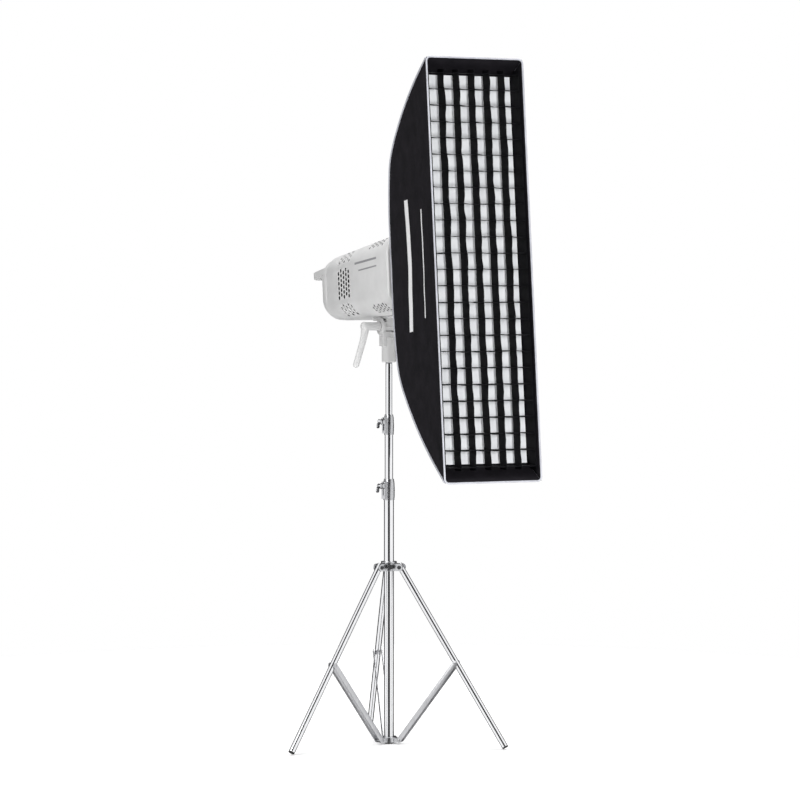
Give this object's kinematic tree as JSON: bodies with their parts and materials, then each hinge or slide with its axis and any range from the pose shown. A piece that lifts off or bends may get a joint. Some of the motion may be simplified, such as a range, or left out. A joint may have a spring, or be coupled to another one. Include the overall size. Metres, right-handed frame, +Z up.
{
  "type": "studio softbox",
  "caption": "Tall strip softbox with a fabric grid on a white LED monolight head, held by a tilting bracket on a folding steel light stand.",
  "frame": {"origin": "on the floor, at the middle of the column foot's underside", "axes": "+Z up along the column; the light points along -Y; +X to the light's left-hand side seen from behind it"},
  "size_m": [0.6388, 1.094, 2.026],
  "materials": {
    "stainless_tube": "polished stainless steel tube",
    "cast_alloy": "satin die-cast alloy",
    "brace_bar": "satin flat steel bar",
    "white_shell": "satin white moulded plastic",
    "dark_plastic": "fine-textured black plastic",
    "foot_rubber": "matte black rubber",
    "black_metal": "satin black coated metal",
    "heat_aluminium": "plain extruded aluminium",
    "led_phosphor": "yellow phosphor under clear silicone",
    "circuit_board": "green solder mask",
    "display_glass": "glossy black display window",
    "red_plastic": "glossy red rocker",
    "black_fabric": "woven black nylon, silver inside",
    "grid_fabric": "black nylon webbing strips",
    "white_fabric": "white translucent nylon",
    "spring_steel": "spring steel rod"
  },
  "bodies": {
    "base": {"base_column": "stainless_tube", "column_foot": "dark_plastic", "lower_spider": "cast_alloy", "lower_clamp": "cast_alloy"},
    "collar": {"leg_collar": "cast_alloy"},
    "collar_lock": {"collar_lock_screw": "dark_plastic"},
    "lower_screw": {"lower_wing_screw": "black_metal"},
    "mid": {"mid_column": "stainless_tube", "upper_clamp": "cast_alloy"},
    "upper_screw": {"upper_wing_screw": "black_metal"},
    "top": {"top_column": "stainless_tube", "stand_spigot": "cast_alloy"},
    "receiver": {"stand_receiver": "white_shell", "tilt_bolt": "cast_alloy"},
    "receiver_lock": {"receiver_knob": "dark_plastic"},
    "lever": {"tilt_lever": "white_shell"},
    "head": {"head_bracket": "white_shell", "umbrella_holder": "dark_plastic", "main_housing": "white_shell", "rear_cover": "white_shell", "front_bezel": "white_shell", "mount_ring": "black_metal", "carry_handle": "white_shell", "heat_sink": "heat_aluminium", "led_module": "led_phosphor", "reflector_cone": "heat_aluminium", "fan_frame": "dark_plastic", "driver_board": "circuit_board", "display_window": "display_glass", "power_inlet": "dark_plastic"},
    "umbrella_lock": {"umbrella_screw": "dark_plastic"},
    "latch": {"mount_latch": "dark_plastic"},
    "fan": {"fan_rotor": "dark_plastic"},
    "dial": {"control_dial": "dark_plastic"},
    "button_1": {"control_button_1": "dark_plastic"},
    "button_2": {"control_button_2": "dark_plastic"},
    "switch": {"power_switch": "red_plastic"},
    "softbox": {"speedring": "black_metal", "spring_rib_1": "spring_steel", "spring_rib_2": "spring_steel", "spring_rib_3": "spring_steel", "spring_rib_4": "spring_steel", "wrap_panel": "black_fabric", "left_side_panel": "black_fabric", "right_side_panel": "black_fabric", "front_diffuser": "white_fabric", "inner_baffle": "white_fabric", "fabric_grid": "grid_fabric"},
    "leg_1": {"leg_1": "stainless_tube", "foot_1": "foot_rubber"},
    "brace_1": {"brace_1a": "brace_bar", "brace_1b": "brace_bar"},
    "leg_2": {"leg_2": "stainless_tube", "foot_2": "foot_rubber"},
    "brace_2": {"brace_2a": "brace_bar", "brace_2b": "brace_bar"},
    "leg_3": {"leg_3": "stainless_tube", "foot_3": "foot_rubber"},
    "brace_3": {"brace_3a": "brace_bar", "brace_3b": "brace_bar"}
  },
  "joints": [
    {"name": "collar_slide", "type": "slide", "parent": "base", "child": "collar", "axis": [0, 0, 1], "range_m": [0, 0.11015]},
    {"name": "leg_1_fold", "type": "hinge", "parent": "collar", "child": "leg_1", "pos_m": [0.00983, 0.03671, 0.535], "axis": [-0.9659, 0.2588, 0], "range_deg": [0, 32.19]},
    {"name": "brace_1_fold", "type": "hinge", "parent": "base", "child": "brace_1", "pos_m": [0.00945, 0.03526, 0.012], "axis": [0.9659, -0.2588, 0], "range_deg": [0, 36.55]},
    {"name": "leg_2_fold", "type": "hinge", "parent": "collar", "child": "leg_2", "pos_m": [-0.03671, -0.00983, 0.535], "axis": [0.2588, -0.9659, 0], "range_deg": [0, 32.19]},
    {"name": "brace_2_fold", "type": "hinge", "parent": "base", "child": "brace_2", "pos_m": [-0.03526, -0.00945, 0.012], "axis": [-0.2588, 0.9659, 0], "range_deg": [0, 36.55]},
    {"name": "leg_3_fold", "type": "hinge", "parent": "collar", "child": "leg_3", "pos_m": [0.02687, -0.02687, 0.535], "axis": [0.7071, 0.7071, 0], "range_deg": [0, 32.19]},
    {"name": "brace_3_fold", "type": "hinge", "parent": "base", "child": "brace_3", "pos_m": [0.02581, -0.02581, 0.012], "axis": [-0.7071, -0.7071, 0], "range_deg": [0, 36.55]},
    {"name": "collar_lock_turn", "type": "hinge", "parent": "collar", "child": "collar_lock", "pos_m": [-0.00725, -0.02705, 0.537], "axis": [-0.2588, -0.9659, 0], "range_deg": [0, 270]},
    {"name": "lower_screw_turn", "type": "hinge", "parent": "base", "child": "lower_screw", "pos_m": [-0.02451, -0.01415, 0.781], "axis": [-0.5, 0.866, 0], "range_deg": [0, 270]},
    {"name": "mid_slide", "type": "slide", "parent": "base", "child": "mid", "axis": [0, 0, 1], "range_m": [-0.132, 0.43]},
    {"name": "upper_screw_turn", "type": "hinge", "parent": "mid", "child": "upper_screw", "pos_m": [-0.02252, -0.013, 0.975], "axis": [-0.5, 0.866, 0], "range_deg": [0, 270]},
    {"name": "top_slide", "type": "slide", "parent": "mid", "child": "top", "axis": [0, 0, 1], "range_m": [-0.155, 0.45]},
    {"name": "head_pan", "type": "hinge", "parent": "top", "child": "receiver", "pos_m": [0, 0, 1.18], "axis": [0, 0, 1], "continuous": true},
    {"name": "receiver_knob_turn", "type": "hinge", "parent": "receiver", "child": "receiver_lock", "pos_m": [0.03, 0, 1.179], "axis": [1, 0, 0], "range_deg": [0, 270]},
    {"name": "tilt_lever_turn", "type": "hinge", "parent": "receiver", "child": "lever", "pos_m": [-0.06, 0, 1.261], "axis": [1, 0, 0], "range_deg": [-60, 20]},
    {"name": "head_tilt", "type": "hinge", "parent": "receiver", "child": "head", "pos_m": [0, 0, 1.261], "axis": [-1, 0, 0], "range_deg": [-41, 54]},
    {"name": "umbrella_screw_turn", "type": "hinge", "parent": "head", "child": "umbrella_lock", "pos_m": [0.025, -0.22375, 1.29424], "axis": [1, 0, 0], "range_deg": [0, 270]},
    {"name": "latch_slide", "type": "slide", "parent": "head", "child": "latch", "axis": [0, 0.1045, 0.9945], "range_m": [0, 0.007], "stiffness_N_per_m": 400},
    {"name": "fan_spin", "type": "hinge", "parent": "head", "child": "fan", "pos_m": [0, 0.00113, 1.40568], "axis": [0, -0.9945, 0.1045], "continuous": true},
    {"name": "dial_turn", "type": "hinge", "parent": "head", "child": "dial", "pos_m": [0.058, 0.29435, 1.3829], "axis": [0, 0.9945, -0.1045], "continuous": true},
    {"name": "button_1_press", "type": "slide", "parent": "head", "child": "button_1", "axis": [0, -0.9945, 0.1045], "range_m": [0, 0.0015], "stiffness_N_per_m": 300},
    {"name": "button_2_press", "type": "slide", "parent": "head", "child": "button_2", "axis": [0, -0.9945, 0.1045], "range_m": [0, 0.0015], "stiffness_N_per_m": 300},
    {"name": "switch_rock", "type": "hinge", "parent": "head", "child": "switch", "pos_m": [-0.032, 0.27835, 1.32626], "axis": [0, 0.1045, 0.9945], "range_deg": [0, 9]},
    {"name": "softbox_turn", "type": "hinge", "parent": "head", "child": "softbox", "pos_m": [0, -0.26143, 1.43327], "axis": [0, -0.9945, 0.1045], "range_deg": [-90, 90]}
  ],
  "couplings": [
    {"joint": "leg_1_fold", "follows": "collar_slide", "rad_per_m": 5.093},
    {"joint": "brace_1_fold", "follows": "collar_slide", "rad_per_m": 5.7842},
    {"joint": "leg_2_fold", "follows": "collar_slide", "rad_per_m": 5.093},
    {"joint": "brace_2_fold", "follows": "collar_slide", "rad_per_m": 5.7842},
    {"joint": "leg_3_fold", "follows": "collar_slide", "rad_per_m": 5.093},
    {"joint": "brace_3_fold", "follows": "collar_slide", "rad_per_m": 5.7842}
  ]
}
